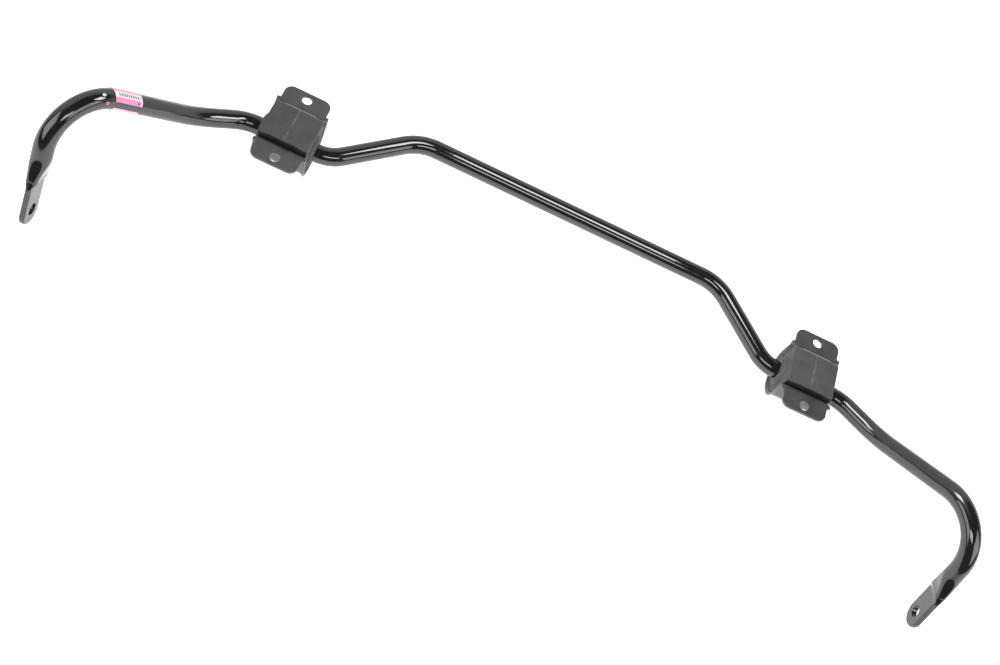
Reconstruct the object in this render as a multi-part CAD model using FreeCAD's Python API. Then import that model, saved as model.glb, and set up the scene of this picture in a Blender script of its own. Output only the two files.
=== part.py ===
import FreeCAD, Part
import math
import os

# Front sway bar (anti-roll bar) with its two frame brackets and split rubber bushings.
#
# Millimetres. +X runs along the bar, +Z is the outward normal of the brackets' seats, which bolt up
# against the vehicle frame, and +Y is the side that the cranked middle of the bar leans to.
# The origin is the centre of the four bracket bolt holes, on the seat plane.

V = FreeCAD.Vector

# ---------------------------------------------------------------- driving dimensions
# Bar: one length of steel tube, bent cold, its two ends pressed flat.
BAR_DIAMETER = 20.0
BAR_WALL = 2.9
SEAT_DEPTH = 20.0            # bar axis below the bracket seat plane
BUSHING_SPACING = 607.0      # centre to centre of the two bushings
CRANK_LEG = V(78.0, -64.5, -9.5)      # from the cranked middle down to the bushing run
SWEEP_LEG = V(44.0, -34.0, 14.0)      # from the bushing run outwards
SHOULDER_LEG = V(89.5, -102.0, 98.0)  # from the sweep out to the elbow
ARM_BACK = 58.0              # elbow to link hole, along -Y
ARM_DROP = 121.0             # elbow to link hole, along -Z
CRANK_RADIUS = 55.0          # bend radii on the bar's axis
SEAT_RADIUS = 40.0
SWEEP_RADIUS = 95.0
ELBOW_RADIUS = 50.0

# Flattened ends.
EYE_WIDTH = 29.5
EYE_RAMP = 5.0               # short step where the press starts
EYE_BLEND = 27.0             # round section swelling towards the step
EYE_FLAT = 29.5              # step to hole centre
EYE_TIP = 2.5                # hole centre to the centre of the rounded tip
EYE_CORNER = 1.9             # rounding along the pressed edges
STEP_WIDTH = 27.0            # section just before the step
STEP_THICKNESS = 11.0
LINK_HOLE_RADIUS = 6.25      # M12 drop-link stud
SLIT = 0.4                   # what is left of the bore in the pressed end

# Split rubber bushings and their low-friction liners.
BUSHING_LENGTH = 54.0
BUSHING_WIDTH = 47.0
BUSHING_PROUD = 6.0          # squeeze left above the seat plane before bolting up
BUSHING_EDGE = 2.0
BUSHING_SWELL = 0.8          # how far each end bulges into the strap's flare
COLLAR_LENGTH = 4.0
COLLAR_RADIUS = 17.5
COLLAR_LIP = 14.0
LINER_WALL = 1.0
RUN_CLEARANCE = 0.05         # liner bore over the bar, radial
SLIT_WIDTH = 0.6             # cut that lets the bushing open over the bar
SEAT_MARGIN = 0.75           # straight bar left past each collar

# Stamped steel brackets.
BRACKET_LENGTH = 102.0       # across the bar, tab tip to tab tip
STRAP_WIDTH = 58.0
TAB_WIDTH = 51.0
STRAP_FLARE = 2.5            # how far the strap's edges open outwards
FLARE_LENGTH = 5.0
BRACKET_PLATE = 3.0
BRACKET_BEND = 5.0
TAB_CORNER = 9.0
BOLT_SPACING = 83.0
BOLT_HOLE_RADIUS = 5.5       # M10 bolt

# Stock label and inspection paint dabs near the left elbow. Their places are measured along the
# bar's axis from where the elbow's bend ends, less than zero on the bend.
LABEL_START = -7.5
LABEL_LENGTH = 31.0
LABEL_THICKNESS = 0.25
LABEL_SEAM = {"turn": -78.0, "width": 6.8}   # gap between the label's two ends
SKIN_GAP = 0.1               # glue under the label, primer under the paint
PAINT_THICKNESS = 0.15
WHITE_DAB = {"along": -17.5, "turn": -19.0, "radius": 1.8}
PINK_DAB = {"along": -15.5, "turn": -66.0, "radius": 1.9}

BAR_RADIUS = BAR_DIAMETER / 2
AXIS_Z = -SEAT_DEPTH
LINER_BORE = BAR_RADIUS + RUN_CLEARANCE
BUSHING_BORE = LINER_BORE + LINER_WALL
BUSHING_X = BUSHING_SPACING / 2
HALF_BUSHING = BUSHING_WIDTH / 2


# ---------------------------------------------------------------- bar axis
def unit(vector):
    """The same direction at length one."""
    return vector * (1 / vector.Length)


def turn_between(leg_in, leg_out):
    """Angle in radians that the bar turns through from one leg to the next."""
    return leg_in.getAngle(leg_out)


def setback(radius, leg_in, leg_out):
    """Distance from a corner point back to where its bend starts."""
    return radius * math.tan(turn_between(leg_in, leg_out) / 2)


def mirrored(point):
    """The matching point on the left-hand side."""
    return V(-point.x, point.y, point.z)


def right_corners():
    """Corner points of the right-hand half of the axis, from the crank to the link hole."""
    along = V(1, 0, 0)
    run = BUSHING_LENGTH / 2 + COLLAR_LENGTH + SEAT_MARGIN
    inner = V(BUSHING_X - run - setback(SEAT_RADIUS, CRANK_LEG, along), 0, AXIS_Z)
    outer = V(BUSHING_X + run + setback(SEAT_RADIUS, along, SWEEP_LEG), 0, AXIS_Z)
    crank = inner - CRANK_LEG
    shoulder = outer + SWEEP_LEG
    elbow = shoulder + SHOULDER_LEG
    link = elbow + V(0, -ARM_BACK, -ARM_DROP)
    return [crank, inner, outer, shoulder, elbow, link]


def arm_direction():
    """Unit vector along the arm, from the elbow to the link hole."""
    return unit(V(0, -ARM_BACK, -ARM_DROP))


def run_solid(start, end, radius):
    """Straight stretch of round bar."""
    return Part.makeCylinder(radius, (end - start).Length, start, end - start)


def bend_solid(start, leg_in, leg_out, bend_radius, radius):
    """Bent stretch of round bar, starting where the incoming leg ends."""
    axis = leg_in.cross(leg_out)
    centre = start + unit(axis.cross(leg_in)) * bend_radius
    disc = Part.Face(Part.Wire(Part.makeCircle(radius, start, leg_in)))
    return disc.revolve(centre, axis, math.degrees(turn_between(leg_in, leg_out)))


def rod(radius):
    """Round bar of one radius along the whole axis, from one flattening to the other."""
    right = right_corners()
    stop = right[-1] - arm_direction() * (EYE_FLAT + EYE_RAMP + EYE_BLEND)
    corners = [mirrored(p) for p in reversed(right)] + right
    corners[0] = mirrored(stop)
    corners[-1] = stop
    half = [CRANK_RADIUS, SEAT_RADIUS, SEAT_RADIUS, SWEEP_RADIUS, ELBOW_RADIUS]
    radii = list(reversed(half)) + half
    solids = []
    here = corners[0]
    for i, bend_radius in enumerate(radii, start=1):
        leg_in = corners[i] - corners[i - 1]
        leg_out = corners[i + 1] - corners[i]
        back = setback(bend_radius, leg_in, leg_out)
        start = corners[i] - unit(leg_in) * back
        solids.append(run_solid(here, start, radius))
        solids.append(bend_solid(start, leg_in, leg_out, bend_radius, radius))
        here = corners[i] + unit(leg_out) * back
    solids.append(run_solid(here, corners[-1], radius))
    return solids[0].multiFuse(solids[1:]).removeSplitter()


# ---------------------------------------------------------------- flattened ends
def eye_section(distance, width, thickness, corner):
    """Rounded rectangle across the right arm, at a distance before the link hole."""
    along = arm_direction()
    centre = right_corners()[-1] - along * distance
    out = V(1, 0, 0)
    across = along.cross(out)

    def place(a, b):
        return centre + across * a + out * b

    round_bar = corner >= min(width, thickness) / 2
    edges = []
    if round_bar:
        reach = width / 2
        ring = [math.radians(-22.5 + 45 * k) for k in range(9)]
        for low, high in zip(ring, ring[1:]):
            mid = (low + high) / 2
            points = [place(reach * math.cos(a), reach * math.sin(a)) for a in (low, mid, high)]
            edges.append(Part.Arc(*points).toShape())
        return Part.Wire(edges)
    flat_a = width / 2 - corner
    flat_b = thickness / 2 - corner
    diagonal = corner * math.sqrt(0.5)
    for a, b, first in ((1, 1, True), (-1, 1, False), (-1, -1, True), (1, -1, False)):
        side = place(a * (flat_a + corner), b * flat_b)
        face = place(a * flat_a, b * (flat_b + corner))
        middle = place(a * (flat_a + diagonal), b * (flat_b + diagonal))
        begin, finish = (side, face) if first else (face, side)
        if first:
            opposite = place(a * (flat_a + corner), -b * flat_b)
            edges.append(Part.LineSegment(opposite, begin).toShape())
        else:
            opposite = place(-a * flat_a, b * (flat_b + corner))
            edges.append(Part.LineSegment(opposite, begin).toShape())
        edges.append(Part.Arc(begin, middle, finish).toShape())
    return Part.Wire(edges)


def eye_blend(inset):
    """Swelling from the round bar to the step, set in by a wall all round."""
    start = EYE_FLAT + EYE_RAMP + EYE_BLEND
    diameter = BAR_DIAMETER - 2 * inset
    steps = 5
    sections = [eye_section(start, diameter, diameter, diameter / 2)]
    for k in range(1, steps + 1):
        share = k / steps
        ease = share * share * (3 - 2 * share)
        width = BAR_DIAMETER + (STEP_WIDTH - BAR_DIAMETER) * ease - 2 * inset
        thickness = BAR_DIAMETER + (STEP_THICKNESS - BAR_DIAMETER) * ease - 2 * inset
        corner = thickness / 2 * (0.97 - 0.25 * ease)
        sections.append(eye_section(start - EYE_BLEND * share, width, thickness, corner))
    return Part.makeLoft(sections, True, False), sections[-1]


def eye_ramp(step_wire, width, thickness, corner):
    """Short step from the swollen section down to the pressed thickness."""
    return Part.makeLoft([step_wire, eye_section(EYE_FLAT, width, thickness, corner)], True, True)


def eye_outer():
    """Right end of the bar from the round section to the rounded tip, without its hollow."""
    blend, step_wire = eye_blend(0.0)
    thickness = 2 * BAR_WALL
    ramp = eye_ramp(step_wire, EYE_WIDTH, thickness, EYE_CORNER)
    along = arm_direction()
    link = right_corners()[-1]
    reach = EYE_FLAT + EYE_TIP + EYE_WIDTH
    flat = Part.Face(eye_section(EYE_FLAT, EYE_WIDTH, thickness, EYE_CORNER)).extrude(along * reach)
    tip_centre = link + along * EYE_TIP - V(thickness, 0, 0)
    tip = Part.makeCylinder(EYE_WIDTH / 2, 2 * thickness, tip_centre, V(1, 0, 0))
    across = along.cross(V(1, 0, 0)) * (EYE_WIDTH / 2)
    top = link - along * EYE_FLAT - V(thickness, 0, 0)
    outline = [top - across, tip_centre - across, tip_centre + across, top + across, top - across]
    plan = Part.Face(Part.makePolygon(outline)).extrude(V(2 * thickness, 0, 0))
    flat = flat.common(plan.fuse(tip))
    hole = Part.makeCylinder(LINK_HOLE_RADIUS, 2 * thickness, link - V(thickness, 0, 0), V(1, 0, 0))
    return blend.fuse([ramp, flat.cut(hole)])


def eye_hollow():
    """What is left of the bore inside the right end: it narrows to a closed slit."""
    blend, step_wire = eye_blend(BAR_WALL)
    ramp = eye_ramp(step_wire, EYE_WIDTH - 2 * BAR_WALL, SLIT, SLIT / 3)
    return blend.fuse(ramp)


def sway_bar():
    """The whole bar: bent tube with a pressed eye at each end."""
    outer = rod(BAR_RADIUS)
    hollow = rod(BAR_RADIUS - BAR_WALL)
    eye = eye_outer()
    core = eye_hollow()
    across = V(1, 0, 0)
    outer = outer.fuse([eye, eye.mirror(V(0, 0, 0), across)]).removeSplitter()
    hollow = hollow.fuse([core, core.mirror(V(0, 0, 0), across)])
    return outer.cut(hollow)


# ---------------------------------------------------------------- bushings and liners
def bushing_outline(x, swell):
    """D-shaped outline of a bushing in the plane at x, flat side up."""
    w = HALF_BUSHING + swell
    top = BUSHING_PROUD
    e = BUSHING_EDGE
    k = e * (1 - math.sqrt(0.5))
    edges = [
        Part.LineSegment(V(x, -w + e, top), V(x, w - e, top)),
        Part.Arc(V(x, w - e, top), V(x, w - k, top - k), V(x, w, top - e)),
        Part.LineSegment(V(x, w, top - e), V(x, w, AXIS_Z)),
        Part.Arc(V(x, w, AXIS_Z), V(x, 0, AXIS_Z - w), V(x, -w, AXIS_Z)),
        Part.LineSegment(V(x, -w, AXIS_Z), V(x, -w, top - e)),
        Part.Arc(V(x, -w, top - e), V(x, -w + k, top - k), V(x, -w + e, top)),
    ]
    return Part.Wire([edge.toShape() for edge in edges])


def bushing_collar(x, outwards):
    """Raised rubber lip round the bar at one end of a bushing."""
    length = COLLAR_LENGTH * outwards
    outline = [
        V(x, 0, AXIS_Z + BUSHING_BORE),
        V(x, 0, AXIS_Z + COLLAR_RADIUS),
        V(x + length * 0.45, 0, AXIS_Z + COLLAR_RADIUS - 0.6),
        V(x + length, 0, AXIS_Z + COLLAR_LIP),
        V(x + length, 0, AXIS_Z + BUSHING_BORE),
    ]
    face = Part.Face(Part.makePolygon(outline + outline[:1]))
    return face.revolve(V(x, 0, AXIS_Z), V(1, 0, 0), 360)


def bushing(side):
    """Split rubber bushing with its flat side standing proud of the seat plane."""
    centre = side * BUSHING_X
    start = centre - BUSHING_LENGTH / 2
    straight = STRAP_WIDTH / 2 - FLARE_LENGTH
    body = Part.Face(bushing_outline(centre - straight, 0)).extrude(V(2 * straight, 0, 0))
    for end in (1, -1):
        near = bushing_outline(centre + end * straight, 0)
        far = bushing_outline(centre + end * BUSHING_LENGTH / 2, BUSHING_SWELL)
        body = body.fuse(Part.makeLoft([near, far], True, True))
    full = BUSHING_LENGTH + 2 * COLLAR_LENGTH
    axis_start = V(centre - full / 2, 0, AXIS_Z)
    body = body.cut(Part.makeCylinder(BUSHING_BORE, full, axis_start, V(1, 0, 0)))
    collars = [bushing_collar(start, -1), bushing_collar(start + BUSHING_LENGTH, 1)]
    body = body.fuse(collars).removeSplitter()
    corner = V(centre - full / 2, BUSHING_BORE / 2, AXIS_Z - SLIT_WIDTH / 2)
    return body.cut(Part.makeBox(full, BUSHING_WIDTH, SLIT_WIDTH, corner))


def bushing_liner(side):
    """Thin low-friction sleeve that lines the rubber and turns on the bar."""
    full = BUSHING_LENGTH + 2 * COLLAR_LENGTH
    start = V(side * BUSHING_X - full / 2, 0, AXIS_Z)
    sleeve = Part.makeCylinder(BUSHING_BORE, full, start, V(1, 0, 0))
    return sleeve.cut(Part.makeCylinder(LINER_BORE, full, start, V(1, 0, 0)))


# ---------------------------------------------------------------- brackets
def bracket_outline(x, flare):
    """Edge of the stamped strap in the plane at x: two tabs and the U round the rubber."""
    w = HALF_BUSHING + flare
    t = BRACKET_PLATE
    r = BRACKET_BEND
    tip = BRACKET_LENGTH / 2
    k = math.sqrt(0.5)
    mid = V(x, 0, 0)

    def p(y, z):
        return V(x, y, z)

    def bend(side, radius):
        heel = w + r
        return [p(side * (heel - radius * k), -r + radius * k), p(side * (heel - radius), -r)]

    edges = []
    for side in (1, -1):
        upper_mid, upper_end = bend(side, r)
        lower_mid, lower_end = bend(side, r - t)
        edges.append(Part.LineSegment(p(side * tip, 0), p(side * (w + r), 0)))
        edges.append(Part.Arc(p(side * (w + r), 0), upper_mid, upper_end))
        edges.append(Part.LineSegment(upper_end, p(side * w, AXIS_Z)))
        edges.append(Part.LineSegment(p(side * tip, -t), p(side * (w + r), -t)))
        edges.append(Part.Arc(p(side * (w + r), -t), lower_mid, lower_end))
        edges.append(Part.LineSegment(lower_end, p(side * (w + t), AXIS_Z)))
        edges.append(Part.LineSegment(p(side * tip, 0), p(side * tip, -t)))
    for radius in (w, w + t):
        edges.append(Part.Arc(p(radius, AXIS_Z), p(0, AXIS_Z - radius), p(-radius, AXIS_Z)))
    return Part.Wire(Part.__sortEdges__([edge.toShape() for edge in edges]))


def flared_strap(centre):
    """Strap at full width all over, with its two edges opened outwards."""
    straight = STRAP_WIDTH / 2 - FLARE_LENGTH
    strap = Part.Face(bracket_outline(centre - straight, 0)).extrude(V(2 * straight, 0, 0))
    for end in (1, -1):
        sections = []
        for share in (0, 0.3, 0.6, 1):
            x = centre + end * (straight + FLARE_LENGTH * share)
            sections.append(bracket_outline(x, STRAP_FLARE * share ** 1.5))
        strap = strap.fuse(Part.makeLoft(sections, True, True))
    return strap


def bracket_blank(centre):
    """Plan shape of the strap, as a prism: rounded tabs and the wider U between them."""
    depth = SEAT_DEPTH + BUSHING_WIDTH
    corner = V(centre - TAB_WIDTH / 2, -BRACKET_LENGTH / 2, -depth)
    tabs = Part.makeBox(TAB_WIDTH, BRACKET_LENGTH, depth, corner)
    uprights = [e for e in tabs.Edges if abs(e.BoundBox.ZLength - depth) < 0.001]
    tabs = tabs.makeFillet(TAB_CORNER, uprights)
    reach = HALF_BUSHING + BRACKET_BEND + STRAP_FLARE
    corner = V(centre - STRAP_WIDTH / 2, -reach, -depth)
    return tabs.fuse(Part.makeBox(STRAP_WIDTH, 2 * reach, depth, corner))


def bracket(side):
    """Stamped steel strap with a bolt tab on each side of the bushing."""
    centre = side * BUSHING_X
    strap = flared_strap(centre).common(bracket_blank(centre)).removeSplitter()
    for tab in (1, -1):
        base = V(centre, tab * BOLT_SPACING / 2, -BRACKET_PLATE)
        strap = strap.cut(Part.makeCylinder(BOLT_HOLE_RADIUS, BRACKET_PLATE, base))
    return strap


# ---------------------------------------------------------------- label and paint
def left_elbow():
    """Where the left elbow's bend ends, which way the bar goes on, and the bend's centre."""
    inwards = unit(V(SHOULDER_LEG.x, -SHOULDER_LEG.y, -SHOULDER_LEG.z))
    arm = arm_direction()
    end = mirrored(right_corners()[-2]) + inwards * setback(ELBOW_RADIUS, inwards * -1, arm)
    to_centre = unit(arm - inwards * inwards.dot(arm))
    return end, inwards, end + to_centre * ELBOW_RADIUS


def left_axis(along):
    """Point on the axis near the left elbow, and the unit vector towards the middle."""
    end, inwards, centre = left_elbow()
    if along >= 0:
        return end + inwards * along, inwards
    back = FreeCAD.Rotation((end - centre).cross(inwards), math.degrees(along / ELBOW_RADIUS))
    return centre + back.multVec(end - centre), back.multVec(inwards)


def outwards(along, turn):
    """Unit vector out of the bar at that place, so many degrees round from its top."""
    inwards = left_axis(along)[1]
    upright = unit(inwards.cross(V(0, 0, 1)).cross(inwards))
    sideways = upright.cross(inwards)
    return upright * math.cos(math.radians(turn)) + sideways * math.sin(math.radians(turn))


def skin(start, stop, thickness):
    """Thin sleeve that lies on the bar near the left elbow, over the bend's end and beyond it."""
    end, inwards, centre = left_elbow()
    inner = BAR_RADIUS + SKIN_GAP
    pieces = []
    if start < 0:
        bent = min(stop, 0) - start
        point, direction = left_axis(min(stop, 0))
        discs = []
        for radius in (inner + thickness, inner):
            discs.append(Part.Face(Part.Wire(Part.makeCircle(radius, point, direction))))
        axis = (end - centre).cross(inwards) * -1
        turned = [disc.revolve(centre, axis, math.degrees(bent / ELBOW_RADIUS)) for disc in discs]
        pieces.append(turned[0].cut(turned[1]))
    if stop > 0:
        base, direction = left_axis(max(start, 0))
        length = stop - max(start, 0)
        sleeve = Part.makeCylinder(inner + thickness, length, base, direction)
        pieces.append(sleeve.cut(Part.makeCylinder(inner, length, base, direction)))
    return pieces[0].multiFuse(pieces[1:]) if len(pieces) > 1 else pieces[0]


def stock_label():
    """Paper stock label wrapped round the bar, with a gap left between its two ends."""
    stop = LABEL_START + LABEL_LENGTH
    label = skin(LABEL_START, stop, LABEL_THICKNESS)
    for near, far in ((LABEL_START, 0), (0, stop)):
        radial = outwards(near, LABEL_SEAM["turn"])
        first, last = left_axis(near)[0], left_axis(far)[0]
        half = radial.cross(unit(last - first)) * (LABEL_SEAM["width"] / 2)
        past = unit(last - first) * LABEL_THICKNESS
        strip = [first - past - half, first - past + half, last + past + half, last + past - half]
        label = label.cut(Part.Face(Part.makePolygon(strip + strip[:1])).extrude(radial * BAR_DIAMETER))
    return label


def paint_dab(dab):
    """Round dab of inspection paint that follows the bar's surface."""
    reach = dab["radius"] * 2
    shell = skin(dab["along"] - reach, dab["along"] + reach, PAINT_THICKNESS)
    radial = outwards(dab["along"], dab["turn"])
    column = Part.makeCylinder(dab["radius"], BAR_DIAMETER, left_axis(dab["along"])[0], radial)
    return shell.common(column)


# ---------------------------------------------------------------- write the pieces
def write(name, shape):
    """Save one piece as parts/NAME.step."""
    if len(shape.Solids) == 1:
        shape = shape.Solids[0]
    shape.exportStep(os.path.join("parts", name + ".step"))
    print(f"{name}: {len(shape.Solids)} solid, {shape.Volume:.0f} mm3, valid {shape.isValid()}")


os.makedirs("parts", exist_ok=True)
write("sway_bar", sway_bar())
for hand, side in (("left", -1), ("right", 1)):
    write(hand + "_bracket", bracket(side))
    write(hand + "_bushing", bushing(side))
    write(hand + "_bushing_liner", bushing_liner(side))
write("stock_label", stock_label())
write("white_paint_dab", paint_dab(WHITE_DAB))
write("pink_paint_dab", paint_dab(PINK_DAB))
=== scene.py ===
import math
import random

import bmesh
import bpy
from mathutils import Matrix, Vector


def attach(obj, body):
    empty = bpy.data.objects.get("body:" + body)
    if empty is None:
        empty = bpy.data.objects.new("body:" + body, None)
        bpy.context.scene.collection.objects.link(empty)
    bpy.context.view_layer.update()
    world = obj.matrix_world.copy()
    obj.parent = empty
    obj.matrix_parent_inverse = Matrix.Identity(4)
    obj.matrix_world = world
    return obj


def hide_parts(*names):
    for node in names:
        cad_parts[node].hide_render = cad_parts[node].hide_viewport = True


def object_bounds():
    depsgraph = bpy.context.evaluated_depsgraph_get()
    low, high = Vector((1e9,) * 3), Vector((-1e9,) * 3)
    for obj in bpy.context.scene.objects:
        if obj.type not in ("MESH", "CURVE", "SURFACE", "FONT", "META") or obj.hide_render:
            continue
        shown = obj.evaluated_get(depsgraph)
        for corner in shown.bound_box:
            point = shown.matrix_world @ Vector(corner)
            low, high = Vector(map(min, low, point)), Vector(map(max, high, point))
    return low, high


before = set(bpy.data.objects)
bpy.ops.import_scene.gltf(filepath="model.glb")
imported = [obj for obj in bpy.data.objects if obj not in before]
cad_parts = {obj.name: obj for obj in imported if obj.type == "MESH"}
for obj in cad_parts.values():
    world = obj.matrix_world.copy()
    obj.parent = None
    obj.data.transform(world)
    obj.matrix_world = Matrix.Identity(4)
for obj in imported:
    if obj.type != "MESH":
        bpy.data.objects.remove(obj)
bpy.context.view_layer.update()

# ------------------------------------------------------------------ the bar
# One length of 20 mm steel tube, bent cold to a crank in the middle, a run through each bushing, a
# shoulder and an elbow. Its ends are pressed flat and drilled. It is dipped in gloss black enamel.
MM = 0.001
BAR_RADIUS = 10.0 * MM
AXIS_Z = -20.0 * MM
BUSHING_X = 303.5 * MM
RUN_HALF = 31.75 * MM           # straight bar each side of a bushing's centre
CRANK_LEG = Vector((78.0, -64.5, -9.5)) * MM
SWEEP_LEG = Vector((44.0, -34.0, 14.0)) * MM
SHOULDER_LEG = Vector((89.5, -102.0, 98.0)) * MM
ARM_LEG = Vector((0.0, -58.0, -121.0)) * MM
BEND_RADII = [55.0 * MM, 40.0 * MM, 40.0 * MM, 95.0 * MM, 50.0 * MM]
SIDES = 112
BEND_STEPS = 30                 # segments round each bend
WELD = 0.01 * MM                # points closer than this are joined
EYE_START = 61.5 * MM           # from the link hole back to where the tube starts to flatten
EYE_STEP = 34.5 * MM            # to the edge of the press mark
EYE_FLAT = 29.5 * MM            # to where the flat face begins
STEP_SIZE = (27.0 * MM, 11.0 * MM)
STEP_SQUARING = 0.28            # how much the round section squares up before the press mark
STEP_CORNER = 0.36 * STEP_SIZE[1]
FLAT_SIZE = (29.5 * MM, 5.8 * MM)
FLAT_CORNER = 1.9 * MM
PRESS_STEPS, RAMP_STEPS, FLAT_STEPS, TIP_STEPS = 16, 6, 10, 26
TIP_BEYOND = 2.5 * MM           # the rounded tip's centre, past the link hole
HOLE_RADIUS = 6.25 * MM
HOLE_BREAK = 0.35 * MM          # broken edge at each mouth of the hole
ENAMEL_THIN, ENAMEL_THICK = (0.0042, 0.0042, 0.0046), (0.0068, 0.0066, 0.0065)
ENAMEL_ROUGHNESS = (0.05, 0.11)
ENAMEL_IOR = 1.7
ORANGE_PEEL = 0.006 * MM


def setback(radius, leg_in, leg_out):
    """Distance from a corner point of the axis back to where its bend starts."""
    return radius * math.tan(leg_in.angle(leg_out) / 2)


def half_axis():
    """Corner points of the axis from the middle of the crank to where the right eye starts."""
    along = Vector((1, 0, 0))
    inner = Vector((BUSHING_X - RUN_HALF - setback(BEND_RADII[1], CRANK_LEG, along), 0, AXIS_Z))
    outer = Vector((BUSHING_X + RUN_HALF + setback(BEND_RADII[2], along, SWEEP_LEG), 0, AXIS_Z))
    crank = inner - CRANK_LEG
    shoulder = outer + SWEEP_LEG
    elbow = shoulder + SHOULDER_LEG
    link = elbow + ARM_LEG
    middle = Vector((0, crank.y, crank.z))
    stop = link - ARM_LEG.normalized() * EYE_START
    return [middle, crank, inner, outer, shoulder, elbow, stop], link


def run_nodes(owner, tree, settings):
    """Run one Geometry Nodes tree on an object and return the result as a plain mesh."""
    modifier = owner.modifiers.new("make", "NODES")
    modifier.node_group = tree
    for item in tree.interface.items_tree:
        if item.item_type == "SOCKET" and item.in_out == "INPUT" and item.name in settings:
            modifier[item.identifier] = settings[item.name]
    bpy.context.view_layer.update()
    evaluated = owner.evaluated_get(bpy.context.evaluated_depsgraph_get())
    mesh = bpy.data.meshes.new_from_object(evaluated)
    bpy.data.objects.remove(owner)
    return mesh


def node_tree(name, inputs):
    """Empty Geometry Nodes tree with its named inputs, and its input and output nodes."""
    tree = bpy.data.node_groups.new(name, "GeometryNodeTree")
    tree.interface.new_socket("Geometry", in_out="INPUT", socket_type="NodeSocketGeometry")
    for label, kind in inputs:
        tree.interface.new_socket(label, in_out="INPUT", socket_type="NodeSocket" + kind)
    tree.interface.new_socket("Geometry", in_out="OUTPUT", socket_type="NodeSocketGeometry")
    return tree, tree.nodes.new("NodeGroupInput"), tree.nodes.new("NodeGroupOutput")


def bent_tube_tree(coat):
    """Tube that follows a line of corner points, each rounded to its own bend radius."""
    settings = [("Radius", "Float"), ("Sides", "Int"), ("Bend Steps", "Int")]
    tree, source, result = node_tree("bent_tube", settings)
    link = tree.links.new
    curve = tree.nodes.new("GeometryNodeMeshToCurve")
    bend = tree.nodes.new("GeometryNodeFilletCurve")
    bend.mode = "POLY"
    radius = tree.nodes.new("GeometryNodeInputNamedAttribute")
    radius.data_type = "FLOAT"
    radius.inputs["Name"].default_value = "bend_radius"
    circle = tree.nodes.new("GeometryNodeCurvePrimitiveCircle")
    sweep = tree.nodes.new("GeometryNodeCurveToMesh")
    smooth = tree.nodes.new("GeometryNodeSetShadeSmooth")
    realize = tree.nodes.new("GeometryNodeRealizeInstances")
    finish = tree.nodes.new("GeometryNodeSetMaterial")
    finish.inputs["Material"].default_value = coat
    link(source.outputs["Geometry"], curve.inputs["Mesh"])
    link(curve.outputs["Curve"], bend.inputs["Curve"])
    link(radius.outputs["Attribute"], bend.inputs["Radius"])
    link(source.outputs["Bend Steps"], bend.inputs["Count"])
    link(source.outputs["Radius"], circle.inputs["Radius"])
    link(source.outputs["Sides"], circle.inputs["Resolution"])
    link(bend.outputs["Curve"], sweep.inputs["Curve"])
    link(circle.outputs["Curve"], sweep.inputs["Profile Curve"])
    link(sweep.outputs["Mesh"], smooth.inputs["Geometry"])
    link(smooth.outputs["Geometry"], realize.inputs["Geometry"])
    link(realize.outputs["Geometry"], finish.inputs["Geometry"])
    link(finish.outputs["Geometry"], result.inputs["Geometry"])
    return tree


def half_tube(coat):
    """The right half of the round tube, open at the middle and where the eye starts."""
    corners, _ = half_axis()
    line = bpy.data.meshes.new("bar_axis")
    line.from_pydata([tuple(p) for p in corners], [(i, i + 1) for i in range(len(corners) - 1)], [])
    radii = line.attributes.new("bend_radius", "FLOAT", "POINT")
    radii.data.foreach_set("value", [0.0] + BEND_RADII + [0.0])
    owner = bpy.data.objects.new("bar_axis", line)
    bpy.context.scene.collection.objects.link(owner)
    settings = {"Radius": BAR_RADIUS, "Sides": SIDES, "Bend Steps": BEND_STEPS}
    return run_nodes(owner, bent_tube_tree(coat), settings)


def rounded_section(share, width, thickness, corner):
    """Point on a rounded rectangle, a share of the way round from the middle of its upper face."""
    corner = min(corner, width / 2, thickness / 2)
    face, side, arc = width - 2 * corner, thickness - 2 * corner, math.pi * corner / 2
    quarter = face / 2 + arc + side / 2
    share = share % 1
    turns = int(share * 4)
    walk = (share * 4 - turns) * quarter
    if turns % 2:
        walk = quarter - walk
    if walk < face / 2:
        a, b = walk, thickness / 2
    elif walk < face / 2 + arc:
        angle = (walk - face / 2) / corner
        a = face / 2 + corner * math.sin(angle)
        b = thickness / 2 - corner * (1 - math.cos(angle))
    else:
        a, b = width / 2, quarter - walk
    return (a if turns in (0, 1) else -a), (b if turns in (0, 3) else -b)


def eye_rings():
    """Sizes of the eye's sections: distance before the hole, width, thickness, corner radius."""
    rings = []
    for k in range(1, PRESS_STEPS + 1):
        share = k / PRESS_STEPS
        ease = share * share * (3 - 2 * share)
        width = 2 * BAR_RADIUS + (STEP_SIZE[0] - 2 * BAR_RADIUS) * ease
        thickness = 2 * BAR_RADIUS + (STEP_SIZE[1] - 2 * BAR_RADIUS) * ease
        corner = thickness / 2 * (1 - STEP_SQUARING * ease)
        rings.append((EYE_START + (EYE_STEP - EYE_START) * share, width, thickness, corner))
    for k in range(1, RAMP_STEPS + 1):
        share = k / RAMP_STEPS
        width = STEP_SIZE[0] + (FLAT_SIZE[0] - STEP_SIZE[0]) * share
        thickness = STEP_SIZE[1] + (FLAT_SIZE[1] - STEP_SIZE[1]) * share
        corner = STEP_CORNER + (FLAT_CORNER - STEP_CORNER) * share
        rings.append((EYE_STEP + (EYE_FLAT - EYE_STEP) * share, width, thickness, corner))
    return rings


def tip_rows():
    """How far each further row lies past the start of the flat, up to the very tip."""
    straight = EYE_FLAT + TIP_BEYOND
    rows = [straight * k / FLAT_STEPS for k in range(1, FLAT_STEPS + 1)]
    for k in range(1, TIP_STEPS + 1):
        rows.append(straight + FLAT_SIZE[0] / 2 * math.sin(math.radians(90 * k / TIP_STEPS)))
    return rows


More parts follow.
